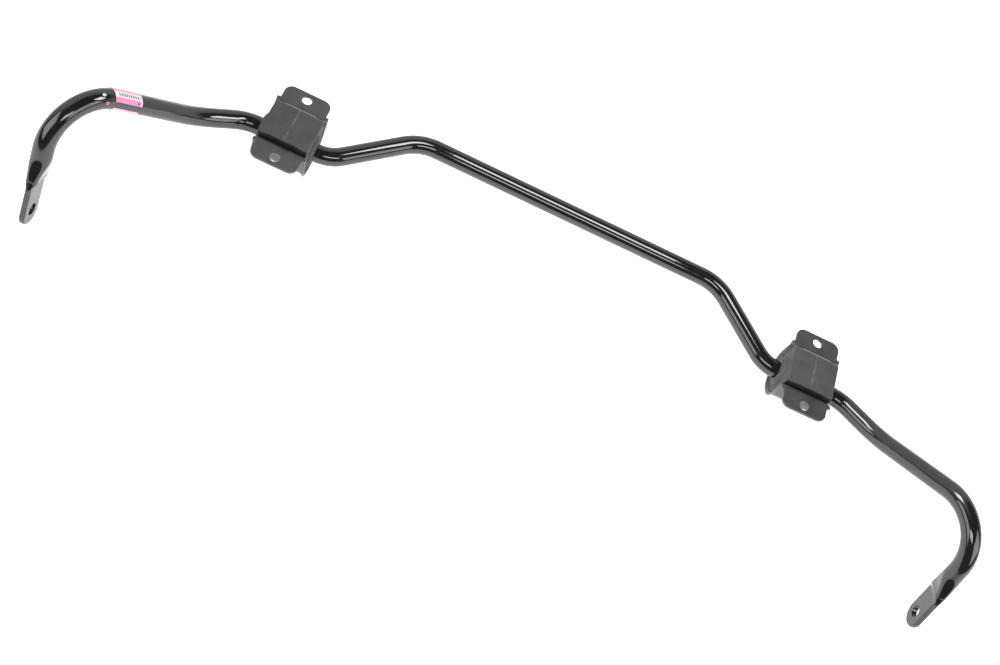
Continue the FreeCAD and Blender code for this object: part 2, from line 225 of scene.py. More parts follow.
def plate_height(a, row):
    """Half the plate's thickness at a place on its face, less towards the rounded edge."""
    radius = FLAT_SIZE[0] / 2
    past = row - EYE_FLAT - TIP_BEYOND
    inset = radius - (math.hypot(a, past) if past > 0 else abs(a))
    inset = min(max(inset, 0.0), FLAT_CORNER)
    drop = FLAT_CORNER - math.sqrt(FLAT_CORNER ** 2 - (FLAT_CORNER - inset) ** 2)
    return FLAT_SIZE[1] / 2 - drop


def add_eye(bm, ring):
    """Carry the tube's last ring on into the flattened, round-tipped eye. The ring is a vertex loop."""
    _, hole = half_axis()
    along = ARM_LEG.normalized()
    out = Vector((1, 0, 0))
    across = along.cross(out)
    centre = hole - along * EYE_START
    shares = []
    for vert in ring:
        arm = vert.co - centre
        shares.append(math.atan2(arm.dot(across), arm.dot(out)) / (2 * math.pi))
    radius = FLAT_SIZE[0] / 2
    rows = []
    for before, width, thickness, corner in eye_rings():
        points = [rounded_section(share, width, thickness, corner) for share in shares]
        rows.append([hole - along * before + across * a + out * b for a, b in points])
    flat = [rounded_section(share, *FLAT_SIZE, FLAT_CORNER) for share in shares]
    for row in tip_rows():
        past = max(row - EYE_FLAT - TIP_BEYOND, 0.0)
        half = math.sqrt(max(radius ** 2 - past ** 2, 0.0))
        points = []
        for a, b in flat:
            wide = a / radius * half
            rim = plate_height(wide, row)
            tall = b if abs(a) > radius * 0.9999 else math.copysign(rim, b)
            points.append(hole - along * (EYE_FLAT - row) + across * wide + out * tall)
        rows.append(points)
    last = ring
    for points in rows:
        fresh = [bm.verts.new(p) for p in points]
        for i in range(len(fresh)):
            j = (i + 1) % len(fresh)
            bm.faces.new((last[i], last[j], fresh[j], fresh[i]))
        last = fresh
    bmesh.ops.remove_doubles(bm, verts=last, dist=WELD)


def hole_cutter(side):
    """Spool-shaped cutter for one link hole, with a broken edge at both faces of the plate."""
    _, hole = half_axis()
    half = FLAT_SIZE[1] / 2
    mouth = HOLE_RADIUS + 2 * HOLE_BREAK
    profile = [(-2 * half, mouth), (-half - HOLE_BREAK, mouth), (-half + HOLE_BREAK, HOLE_RADIUS),
               (half - HOLE_BREAK, HOLE_RADIUS), (half + HOLE_BREAK, mouth), (2 * half, mouth)]
    sides = 72
    turn = [2 * math.pi * k / sides for k in range(sides)]
    bm = bmesh.new()
    rings = []
    for reach, radius in profile:
        x = side * hole.x + reach
        ring = [(x, hole.y + radius * math.cos(t), hole.z + radius * math.sin(t)) for t in turn]
        rings.append([bm.verts.new(p) for p in ring])
    for low, high in zip(rings, rings[1:]):
        for i in range(sides):
            j = (i + 1) % sides
            bm.faces.new((low[i], low[j], high[j], high[i]))
    bm.faces.new(rings[0])
    bm.faces.new(rings[-1])
    bmesh.ops.recalc_face_normals(bm, faces=bm.faces)
    return object_from(bm, "hole_cutter")


def object_from(bm, name):
    """Turn a bmesh into an object of that name in the scene."""
    mesh = bpy.data.meshes.new(name)
    bm.to_mesh(mesh)
    bm.free()
    made = bpy.data.objects.new(name, mesh)
    bpy.context.scene.collection.objects.link(made)
    return made


def cut_away(piece, cutters):
    """Cut the cutters' shapes out of a piece for good, and remove them."""
    for cutter in cutters:
        modifier = piece.modifiers.new("cut", "BOOLEAN")
        modifier.operation = "DIFFERENCE"
        modifier.solver = "EXACT"
        modifier.object = cutter
    apply_modifiers(piece)
    for cutter in cutters:
        bpy.data.objects.remove(cutter)


def apply_modifiers(piece):
    """Make a piece's modifiers part of its mesh."""
    bpy.context.view_layer.update()
    evaluated = piece.evaluated_get(bpy.context.evaluated_depsgraph_get())
    mesh = bpy.data.meshes.new_from_object(evaluated)
    piece.modifiers.clear()
    piece.data = mesh


def smooth_shade(piece, sharp_degrees):
    """Shade a piece smooth, with a crease wherever its faces turn by more than that."""
    piece.data.shade_smooth()
    piece.data.set_sharp_from_angle(angle=math.radians(sharp_degrees))


def build_bar(coat):
    """The whole bar: the right half is made, mirrored, joined in the middle and drilled."""
    bm = bmesh.new()
    bm.from_mesh(half_tube(coat))
    bm.verts.ensure_lookup_table()
    bm.edges.ensure_lookup_table()
    edge = [e for e in bm.edges if e.is_boundary and e.verts[0].co.x > BUSHING_X]
    ring = [edge[0].verts[0], edge[0].verts[1]]
    while len(ring) < len(edge):
        ring += [e.other_vert(ring[-1]) for e in ring[-1].link_edges
                 if e.is_boundary and e.other_vert(ring[-1]) is not ring[-2]]
    add_eye(bm, ring)
    copy = bmesh.ops.duplicate(bm, geom=bm.verts[:] + bm.edges[:] + bm.faces[:])
    for vert in (v for v in copy["geom"] if isinstance(v, bmesh.types.BMVert)):
        vert.co.x = -vert.co.x
    seam = [v for v in bm.verts if abs(v.co.x) < WELD]
    bmesh.ops.remove_doubles(bm, verts=seam, dist=WELD)
    bmesh.ops.recalc_face_normals(bm, faces=bm.faces)
    bar = object_from(bm, "bar")
    bar.data.materials.clear()
    bar.data.materials.append(coat)
    cut_away(bar, [hole_cutter(side) for side in (-1, 1)])
    smooth_shade(bar, 25)
    return bar


def finish_tree(name):
    """New material, its nodes and links, and its main shader."""
    material = bpy.data.materials.new(name)
    material.use_nodes = True
    nodes, links = material.node_tree.nodes, material.node_tree.links
    return material, nodes, links, nodes["Principled BSDF"]


def surface_noise(nodes, links, scale, detail=3.0, roughness=0.5):
    """Noise over a piece, on its own coordinates. The scale is in waves to the metre."""
    place = nodes.get("place") or nodes.new("ShaderNodeTexCoord")
    place.name = "place"
    noise = nodes.new("ShaderNodeTexNoise")
    noise.inputs["Scale"].default_value = scale
    noise.inputs["Detail"].default_value = detail
    noise.inputs["Roughness"].default_value = roughness
    links.new(place.outputs["Object"], noise.inputs["Vector"])
    return noise.outputs["Fac"]


def spread(nodes, links, value, low, high, start=0.3, stop=0.7):
    """Stretch a value's middle band to run from low to high."""
    band = nodes.new("ShaderNodeMapRange")
    band.inputs["From Min"].default_value = start
    band.inputs["From Max"].default_value = stop
    band.inputs["To Min"].default_value = low
    band.inputs["To Max"].default_value = high
    links.new(value, band.inputs["Value"])
    return band.outputs["Result"]


def tint(nodes, links, value, low, high):
    """Colour that runs from one to another as a value goes from 0 to 1."""
    mix = nodes.new("ShaderNodeMix")
    mix.data_type = "RGBA"
    links.new(value, mix.inputs["Factor"])
    mix.inputs["A"].default_value = (*low, 1)
    mix.inputs["B"].default_value = (*high, 1)
    return mix.outputs["Result"]


def combine(nodes, links, operation, first, second=0.0):
    """One step of arithmetic on two values, each of them a node's output or a plain number."""
    step = nodes.new("ShaderNodeMath")
    step.operation = operation
    for socket, value in zip(step.inputs, (first, second)):
        if isinstance(value, bpy.types.NodeSocket):
            links.new(value, socket)
        else:
            socket.default_value = value
    return step.outputs["Value"]


def lay_over(nodes, links, under, mask, colour):
    """Lay a plain colour over a node's colour wherever the mask is one."""
    mix = nodes.new("ShaderNodeMix")
    mix.data_type = "RGBA"
    links.new(mask, mix.inputs["Factor"])
    links.new(under, mix.inputs["A"])
    mix.inputs["B"].default_value = (*colour, 1)
    return mix.outputs["Result"]


def raise_grain(nodes, links, shader, value, height):
    """Small relief from a value, height in metres."""
    bump = nodes.new("ShaderNodeBump")
    bump.inputs["Strength"].default_value = 1.0
    bump.inputs["Distance"].default_value = height
    links.new(value, bump.inputs["Height"])
    links.new(bump.outputs["Normal"], shader.inputs["Normal"])


def black_enamel():
    """Gloss black enamel: nearly mirror smooth, a faint orange peel and patches of duller film."""
    material, nodes, links, shader = finish_tree("gloss_black_enamel")
    film = spread(nodes, links, surface_noise(nodes, links, 45.0), 0.0, 1.0)
    links.new(tint(nodes, links, film, ENAMEL_THIN, ENAMEL_THICK), shader.inputs["Base Color"])
    dull = spread(nodes, links, surface_noise(nodes, links, 170.0, 5.0), *ENAMEL_ROUGHNESS)
    links.new(dull, shader.inputs["Roughness"])
    shader.inputs["IOR"].default_value = ENAMEL_IOR
    raise_grain(nodes, links, shader, surface_noise(nodes, links, 260.0, 1.0), ORANGE_PEEL)
    return material


bar = build_bar(black_enamel())
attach(bar, "bar")
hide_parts("sway_bar")

# ------------------------------------------------------------------ brackets
# Two straps, each stamped from 3 mm steel sheet, bent to a U round the rubber with a drilled tab on
# each side, its two edges flared so that they don't cut the rubber. They have a satin dark e-coat.
STRAP_INNER = 23.5 * MM         # half the rubber's width
STRAP_HALF = 29.0 * MM
TAB_HALF = 25.5 * MM
TAB_TIP = 51.0 * MM
TAB_CORNER = 9.0 * MM
PLATE = 3.0 * MM
PLATE_BEND = 5.0 * MM
FLARE = 2.5 * MM
FLARE_LENGTH = 5.0 * MM
BOLT_Y = 41.5 * MM
BOLT_RADIUS = 5.5 * MM
PLATE_BREAK = 0.35 * MM         # rounding left on the sheared edges
NECK_START = 0.5 * MM           # past the bend, where the strap narrows to the tab
NECK_LENGTH = 3.0 * MM
COAT_DARK, COAT_LIGHT = (0.026, 0.0255, 0.0262), (0.044, 0.0425, 0.0438)
COAT_ROUGHNESS = (0.34, 0.5)
COAT_IOR = 1.8
COAT_GRAIN = 0.05 * MM


def flare_at(x):
    """How far the strap opens outwards at a distance from its middle."""
    share = (abs(x) - (STRAP_HALF - FLARE_LENGTH)) / FLARE_LENGTH
    return FLARE * max(share, 0.0) ** 1.5


def half_width(y):
    """Half the blank's width at a distance from the bar's axis plane."""
    if y > TAB_TIP - TAB_CORNER:
        reach = y - (TAB_TIP - TAB_CORNER)
        return TAB_HALF - TAB_CORNER + math.sqrt(max(TAB_CORNER ** 2 - reach ** 2, 0.0))
    neck = STRAP_INNER + PLATE_BEND
    share = min(max((y - neck - NECK_START) / NECK_LENGTH, 0.0), 1.0)
    return STRAP_HALF + (TAB_HALF - STRAP_HALF) * share * share * (3 - 2 * share)


def strap_rows():
    """Rows of half the strap, from a tab's tip to the bottom of the U, as (kind, share)."""
    tab = TAB_TIP - STRAP_INNER - PLATE_BEND
    rows = [("tab", TAB_CORNER * (1 - math.sin(math.radians(90 - 90 * k / 8))) / tab) for k in range(9)]
    start = rows[-1][1]
    rows += [("tab", start + (1 - start) * k / 12) for k in range(1, 13)]
    rows += [("bend", k / 8) for k in range(1, 9)]
    rows += [("leg", k / 4) for k in range(1, 5)]
    rows += [("round", k / 24) for k in range(1, 25)]
    return rows


def strap_point(kind, share, flare, side, depth):
    """Point of the strap in the plane across the bar, at a depth into the plate."""
    inner = STRAP_INNER + flare
    heel = inner + PLATE_BEND
    if kind == "tab":
        y, z = TAB_TIP + (heel - TAB_TIP) * share, -depth
    elif kind == "bend":
        angle = math.radians(90 * share)
        radius = PLATE_BEND - depth
        y, z = heel - radius * math.sin(angle), -PLATE_BEND + radius * math.cos(angle)
    elif kind == "leg":
        y, z = inner + depth, -PLATE_BEND + (AXIS_Z + PLATE_BEND) * share
    else:
        angle = math.radians(90 * share)
        radius = inner + depth
        y, z = radius * math.cos(angle), AXIS_Z - radius * math.sin(angle)
    return side * y, z


def strap_columns():
    """Places across the blank, from edge to edge, closer together over the flares."""
    flat = (STRAP_HALF - FLARE_LENGTH) / STRAP_HALF
    right = [flat * k / 8 for k in range(9)] + [flat + (1 - flat) * k / 8 for k in range(1, 9)]
    return [-u for u in reversed(right[1:])] + right


def build_bracket(name, centre, steel):
    """One strap, with its bolt holes cut and its sheared edges rounded off."""
    bm = bmesh.new()
    half = strap_rows()
    rows = [(kind, share, 1) for kind, share in half]
    rows += [(kind, share, -1) for kind, share in reversed(half[:-1])]
    columns = strap_columns()
    skins = []
    for depth in (0.0, PLATE):
        skin = []
        for kind, share, side in rows:
            y_flat = TAB_TIP + (STRAP_INNER + PLATE_BEND - TAB_TIP) * share if kind == "tab" else 0.0
            wide = half_width(y_flat)
            line = []
            for u in columns:
                x = u * wide
                y, z = strap_point(kind, share, flare_at(x), side, depth)
                line.append(bm.verts.new((centre + x, y, z)))
            skin.append(line)
        skins.append(skin)
    upper, lower = skins
    last_row, last_column = len(rows) - 1, len(columns) - 1
    for i in range(last_row):
        for j in range(last_column):
            bm.faces.new((upper[i][j], upper[i][j + 1], upper[i + 1][j + 1], upper[i + 1][j]))
            bm.faces.new((lower[i][j], lower[i + 1][j], lower[i + 1][j + 1], lower[i][j + 1]))
        for j in (0, last_column):
            bm.faces.new((upper[i][j], upper[i + 1][j], lower[i + 1][j], lower[i][j]))
    for i in (0, last_row):
        for j in range(last_column):
            bm.faces.new((upper[i][j], upper[i][j + 1], lower[i][j + 1], lower[i][j]))
    bmesh.ops.recalc_face_normals(bm, faces=bm.faces)
    bracket = object_from(bm, name)
    bracket.data.materials.append(steel)
    cut_away(bracket, [bolt_cutter(centre, side) for side in (-1, 1)])
    soften = bracket.modifiers.new("soften", "BEVEL")
    soften.width = PLATE_BREAK
    soften.segments = 3
    soften.limit_method = "ANGLE"
    soften.angle_limit = math.radians(50)
    apply_modifiers(bracket)
    smooth_shade(bracket, 40)
    return bracket


def bolt_cutter(centre, side):
    """Round cutter for one bolt hole."""
    sides = 48
    bm = bmesh.new()
    rings = []
    for z in (-2 * PLATE, PLATE):
        ring = []
        for k in range(sides):
            x = centre + BOLT_RADIUS * math.cos(2 * math.pi * k / sides)
            y = side * BOLT_Y + BOLT_RADIUS * math.sin(2 * math.pi * k / sides)
            ring.append(bm.verts.new((x, y, z)))
        rings.append(ring)
    for i in range(sides):
        j = (i + 1) % sides
        bm.faces.new((rings[0][i], rings[0][j], rings[1][j], rings[1][i]))
    bm.faces.new(rings[0])
    bm.faces.new(rings[1])
    bmesh.ops.recalc_face_normals(bm, faces=bm.faces)
    return object_from(bm, "bolt_cutter")


def satin_coat():
    """Satin dark e-coat over pressed steel: fine grain and a cloudy tone."""
    material, nodes, links, shader = finish_tree("satin_dark_coat")
    cloud = spread(nodes, links, surface_noise(nodes, links, 60.0, 4.0), 0.0, 1.0)
    links.new(tint(nodes, links, cloud, COAT_DARK, COAT_LIGHT), shader.inputs["Base Color"])
    sheen = spread(nodes, links, surface_noise(nodes, links, 220.0, 4.0), *COAT_ROUGHNESS)
    links.new(sheen, shader.inputs["Roughness"])
    shader.inputs["IOR"].default_value = COAT_IOR
    raise_grain(nodes, links, shader, surface_noise(nodes, links, 1500.0, 3.0), COAT_GRAIN)
    return material


steel = satin_coat()
for hand, side in (("left", -1), ("right", 1)):
    bracket = build_bracket(hand + "_strap", side * BUSHING_X, steel)
    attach(bracket, hand + "_mount")
    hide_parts(hand + "_bracket")

# ------------------------------------------------------------------ bushings
# Moulded rubber blocks, D-shaped to fill the straps, slit on one side so that they open over the
# bar. The flat face stands proud of the tabs until the bolts pull it down; a lip hugs the bar.
RUBBER_HALF_LENGTH = 27.0 * MM
RUBBER_TOP = 6.0 * MM
RUBBER_EDGE = 2.0 * MM          # rounding along the flat face's two long edges
RUBBER_EDGE_ENDS = 4.6 * MM     # larger near the two ends, so that the edges bow outwards between
RUBBER_BOW = (15.0 * MM, 19.5 * MM)     # from the middle, where that change starts and ends
RUBBER_END = 1.8 * MM           # rounding round each end
RUBBER_SWELL = 0.8 * MM
RUBBER_BORE = 11.05 * MM
COLLAR_LENGTH = 4.0 * MM
COLLAR_RADIUS = 17.5 * MM
COLLAR_LIP = 14.0 * MM
SLIT = 0.6 * MM
LIP = [                         # section of the lip, as (reach past the rubber's end, radius)
    (0.0, COLLAR_RADIUS + 0.9 * MM),
    (0.25 * MM, COLLAR_RADIUS + 0.2 * MM),
    (0.9 * MM, COLLAR_RADIUS),
    (1.9 * MM, COLLAR_RADIUS - 0.5 * MM),
    (3.0 * MM, COLLAR_RADIUS - 1.6 * MM),
    (3.6 * MM, COLLAR_LIP + 1.0 * MM),
    (3.9 * MM, COLLAR_LIP + 0.3 * MM),
    (COLLAR_LENGTH, COLLAR_LIP - 0.6 * MM),
    (COLLAR_LENGTH, RUBBER_BORE + 0.4 * MM),
    (COLLAR_LENGTH - 0.4 * MM, RUBBER_BORE),
]
RUBBER_DARK, RUBBER_LIGHT = (0.054, 0.050, 0.049), (0.074, 0.069, 0.0677)
# Lighter colour for the worn parting line, and for the painted highlight along the rubber's upper long
# edge.
WORN_AND_HIGHLIGHT_COLOUR = (0.24, 0.23, 0.22)
# Near black: painted shade on the rubber's two flanks, in place of the shade in the gap between rubber
# and strap.
FLANK_SHADE_COLOUR = (0.008, 0.0078, 0.0076)
PARTING_LINE = (0.3 * MM, 1.1 * MM)     # half its width, from where it is full to where it ends
# Band near the rubber's upper long edge where a highlight is painted: how far across, then how high.
HIGHLIGHT_SIDE = (STRAP_INNER - 2.6 * MM, STRAP_INNER - 1.9 * MM)
HIGHLIGHT_HEIGHT = (3.6 * MM, 4.6 * MM)
# How far out the painted shade on the flanks fades in.
FLANK_SHADE_SIDE = (STRAP_INNER - 1.3 * MM, STRAP_INNER - 0.5 * MM)
RUBBER_ROUGHNESS = (0.62, 0.78)
RUBBER_PORES = 0.12 * MM


def d_outline(half, top, corner):
    """D-shaped outline about the bar's axis, as (y, height above the axis), round from the bottom."""
    points = []
    for k in range(-24, 24):
        angle = math.radians(90 * k / 24)
        points.append((half * math.sin(angle), -half * math.cos(angle)))
    rise = top - corner
    points += [(half, rise * k / 8) for k in range(8)]
    for k in range(6):
        angle = math.radians(90 * k / 6)
        points.append((half - corner * (1 - math.cos(angle)), rise + corner * math.sin(angle)))
    flat = half - corner
    points += [(flat * (1 - k / 10), top) for k in range(21)]
    for k in range(1, 7):
        angle = math.radians(90 * k / 6)
        points.append((-flat - corner * math.sin(angle), top - corner * (1 - math.cos(angle))))
    points += [(-half, rise * (1 - k / 8)) for k in range(1, 8)]
    return points


def bushing_sections():
    """Sections along the rubber, each as (x, outline), from one lip's bore round to the other's."""
    height = RUBBER_TOP - AXIS_Z
    half_straight = STRAP_HALF - FLARE_LENGTH
    base = d_outline(STRAP_INNER, height, RUBBER_EDGE)
    angles = [math.atan2(z, y) for y, z in base]

    def ring(radius):
        return [(radius * math.cos(a), radius * math.sin(a)) for a in angles]

    bow_start, bow_end = RUBBER_BOW
    end_start = RUBBER_HALF_LENGTH - RUBBER_END
    stations = [bow_start * k / 3 for k in range(4)]
    stations += [bow_start + (bow_end - bow_start) * k / 8 for k in range(1, 9)]
    stations += [bow_end + (end_start - bow_end) * k / 4 for k in range(1, 5)]
    for degrees in range(15, 105, 15):
        stations.append(RUBBER_HALF_LENGTH - RUBBER_END * (1 - math.sin(math.radians(degrees))))
    right = []
    for x in stations:
        share = max(x - half_straight, 0.0) / (RUBBER_HALF_LENGTH - half_straight)
        past = max(x - end_start, 0.0)
        inset = RUBBER_END - math.sqrt(max(RUBBER_END ** 2 - past ** 2, 0.0))
        half = STRAP_INNER + RUBBER_SWELL * share - inset
        bow = min(max((x - bow_start) / (bow_end - bow_start), 0.0), 1.0)
        edge = RUBBER_EDGE + (RUBBER_EDGE_ENDS - RUBBER_EDGE) * bow * bow * (3 - 2 * bow)
        right.append((x, d_outline(half, height - inset, edge - 0.6 * inset)))
    right += [(RUBBER_HALF_LENGTH + reach, ring(radius)) for reach, radius in LIP]
    left = [(-x, outline) for x, outline in reversed(right)]
    return left[:-1] + right


def build_bushing(name, centre, rubber):
    """One rubber block, closed through its bore, with the slit cut from bore to side."""
    bm = bmesh.new()
    rings = []
    for x, outline in bushing_sections():
        rings.append([bm.verts.new((centre + x, y, AXIS_Z + z)) for y, z in outline])
    for low, high in zip(rings, rings[1:] + rings[:1]):
        for i in range(len(low)):
            j = (i + 1) % len(low)
            bm.faces.new((low[i], low[j], high[j], high[i]))
    bmesh.ops.recalc_face_normals(bm, faces=bm.faces)
    bushing = object_from(bm, name)
    bushing.data.materials.append(rubber)
    full = RUBBER_HALF_LENGTH + COLLAR_LENGTH
    corner = Vector((centre - 1.1 * full, RUBBER_BORE / 2, AXIS_Z - SLIT / 2))
    bm = bmesh.new()
    bmesh.ops.create_cube(bm, size=1.0)
    size = Vector((2.2 * full, 2 * STRAP_INNER, SLIT))
    for vert in bm.verts:
        vert.co = Vector((corner[k] + size[k] * (vert.co[k] + 0.5) for k in range(3)))
    cut_away(bushing, [object_from(bm, "slit_cutter")])
    smooth_shade(bushing, 42)
    return bushing


def moulded_rubber(centre, name):
    """Matt grey-brown rubber: cloudy bloom, fine pores, a worn parting line, a painted highlight along
    the upper long edge and painted shade on the flanks.
    """
    material, nodes, links, shader = finish_tree(name)
    bloom = spread(nodes, links, surface_noise(nodes, links, 75.0, 5.0, 0.6), 0.0, 1.0)
    colour = tint(nodes, links, bloom, RUBBER_DARK, RUBBER_LIGHT)
    split = nodes.new("ShaderNodeSeparateXYZ")
    links.new(nodes["place"].outputs["Object"], split.inputs["Vector"])
    across, upwards = split.outputs["Y"], split.outputs["Z"]
    off = combine(nodes, links, "SUBTRACT", split.outputs["X"], centre)
    away = combine(nodes, links, "ABSOLUTE", off)
    line = spread(nodes, links, away, 1.0, 0.0, *PARTING_LINE)
    worn = spread(nodes, links, surface_noise(nodes, links, 160.0, 4.0, 0.7), 0.0, 0.55, 0.42, 0.62)
    parting = combine(nodes, links, "MULTIPLY", line, worn)
    # Painted highlight along the upper long edge of the rubber.
    highlight_side = spread(nodes, links, across, 0.0, 1.0, *HIGHLIGHT_SIDE)
    highlight_height = spread(nodes, links, upwards, 0.0, 1.0, *HIGHLIGHT_HEIGHT)
    rim = combine(nodes, links, "MULTIPLY", highlight_side, highlight_height)
    worn_and_highlight = combine(nodes, links, "MAXIMUM", parting, rim)
    colour = lay_over(nodes, links, colour, worn_and_highlight, WORN_AND_HIGHLIGHT_COLOUR)
    # Painted shade over both flanks of the rubber.
    sideways = combine(nodes, links, "ABSOLUTE", across)
    painted_flank_shade = spread(nodes, links, sideways, 0.0, 1.0, *FLANK_SHADE_SIDE)
    colour = lay_over(nodes, links, colour, painted_flank_shade, FLANK_SHADE_COLOUR)
    links.new(colour, shader.inputs["Base Color"])
    matt = spread(nodes, links, surface_noise(nodes, links, 300.0), *RUBBER_ROUGHNESS)
    links.new(matt, shader.inputs["Roughness"])
    raise_grain(nodes, links, shader, surface_noise(nodes, links, 900.0, 4.0, 0.6), RUBBER_PORES)
    return material


for hand, side in (("left", -1), ("right", 1)):
    rubber = moulded_rubber(side * BUSHING_X, hand + "_moulded_rubber")
    bushing = build_bushing(hand + "_rubber", side * BUSHING_X, rubber)
    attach(bushing, hand + "_mount")
    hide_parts(hand + "_bushing")

# ------------------------------------------------------------------ bushing liners
# Thin sleeves of pale low-friction plastic, moulded into the rubber so that the bar turns quietly.
# Only their end rings show round the bar, so the designed part is kept and given its finish.
LINER_DARK, LINER_LIGHT = (0.12, 0.115, 0.105), (0.26, 0.25, 0.22)
LINER_ROUGHNESS = (0.35, 0.5)


def liner_plastic():
    """Pale, slightly waxy plastic with grease marks."""
    material, nodes, links, shader = finish_tree("liner_plastic")
    stain = spread(nodes, links, surface_noise(nodes, links, 120.0, 4.0), 0.0, 1.0)
    links.new(tint(nodes, links, stain, LINER_DARK, LINER_LIGHT), shader.inputs["Base Color"])
    wax = spread(nodes, links, surface_noise(nodes, links, 400.0), *LINER_ROUGHNESS)
    links.new(wax, shader.inputs["Roughness"])
    return material


liner_finish = liner_plastic()
for hand in ("left", "right"):
    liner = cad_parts[hand + "_bushing_liner"]
    liner.data.materials.clear()
    liner.data.materials.append(liner_finish)

# ------------------------------------------------------------------ stock label
# A pink printed paper label, glued round the left shoulder and on over the end of the elbow's bend.
# Its two ends don't meet, and a strip of the bar shows between them.
LABEL_START = -7.5 * MM         # along the axis, from where the elbow's bend ends
LABEL_LENGTH = 31.0 * MM
LABEL_LIFT = 0.1 * MM           # glue under the paper
LABEL_THICKNESS = 0.25 * MM
LABEL_SEAM = -78.0              # degrees round from the top of the bar
LABEL_GAP = 6.8 * MM
# Print on the label, and the paler pink painted on as a highlight, as shares of its size: along the bar,
# and round it from one end of the paper.
PINK_DARK, PINK_LIGHT = (0.80, 0.24, 0.46), (0.88, 0.30, 0.54)
# Paler pink, painted as a highlight over the top of the label.
PINK_PAINTED_HIGHLIGHT = (0.86, 0.42, 0.60)
BAND_WHITE = (0.84, 0.80, 0.82)
BAR_INK = (0.06, 0.05, 0.07)
MARK_INK = (0.30, 0.03, 0.16)
BAND_ROUND = (0.085, 0.19)      # the white band; the paler pink of the painted highlight starts where it ends
STRIP_START = 0.955             # the white strip along the end nearer the middle of the bar
BARS_ROUND, BARS_ALONG = (0.108, 0.160), (0.12, 0.92)
BARS_SCALE = 3.6
MARK_ROUND, MARK_ALONG = (0.022, 0.052), (0.81, 0.90)
PAPER_EDGE = 2.0                # a share past the paper's edge, so that a band has no end there
PAPER_ROUGHNESS = (0.35, 0.5)
PAPER_GRAIN = 0.03 * MM


def left_axis(along):
    """Point on the bar's axis near the left elbow, and the unit vector towards the middle."""
    corners, _ = half_axis()
    elbow = corners[-2].copy()
    elbow.x = -elbow.x
    inwards = Vector((SHOULDER_LEG.x, -SHOULDER_LEG.y, -SHOULDER_LEG.z)).normalized()
    arm = ARM_LEG.normalized()
    radius = BEND_RADII[4]
    end = elbow + inwards * setback(radius, -inwards, arm)
    if along >= 0:
        return end + inwards * along, inwards
    to_centre = (arm - inwards * inwards.dot(arm)).normalized()
    centre = end + to_centre * radius
    back = Matrix.Rotation(along / radius, 3, (end - centre).cross(inwards))
    return centre + back @ (end - centre), back @ inwards


def over_bar(along, degrees, radius):
    """Point over the bar near the left elbow, so many degrees round from its top."""
    point, inwards = left_axis(along)
    upright = inwards.cross(Vector((0, 0, 1))).cross(inwards).normalized()
    sideways = upright.cross(inwards)
    turn = math.radians(degrees)
    return point + (upright * math.cos(turn) + sideways * math.sin(turn)) * radius


def build_label(paper):
    """Thin curved sheet with its own thickness, its map running along and round the bar."""
    bm = bmesh.new()
    layer = bm.loops.layers.uv.new("sheet")
    inner = BAR_RADIUS + LABEL_LIFT
    gap = math.degrees(LABEL_GAP / 2 / inner)
    steps, turns = 24, 72
    places = {}
    skins = []
    for radius in (inner, inner + LABEL_THICKNESS):
        skin = []
        for i in range(steps + 1):
            line = []
            for j in range(turns + 1):
                degrees = LABEL_SEAM + gap + (360 - 2 * gap) * j / turns
                vert = bm.verts.new(over_bar(LABEL_START + LABEL_LENGTH * i / steps, degrees, radius))
                places[vert] = (i / steps, j / turns)
                line.append(vert)
            skin.append(line)
        skins.append(skin)
    low, high = skins
    for i in range(steps):
        for j in range(turns):
            bm.faces.new((high[i][j], high[i][j + 1], high[i + 1][j + 1], high[i + 1][j]))
            bm.faces.new((low[i][j], low[i + 1][j], low[i + 1][j + 1], low[i][j + 1]))
        for j in (0, turns):
            bm.faces.new((high[i][j], high[i + 1][j], low[i + 1][j], low[i][j]))
    for j in range(turns):
        for i in (0, steps):
            bm.faces.new((high[i][j], high[i][j + 1], low[i][j + 1], low[i][j]))
    bmesh.ops.recalc_face_normals(bm, faces=bm.faces)
    for face in bm.faces:
        for loop in face.loops:
            loop[layer].uv = places[loop.vert]
    label = object_from(bm, "label")
    label.data.materials.append(paper)
    smooth_shade(label, 40)
    return label


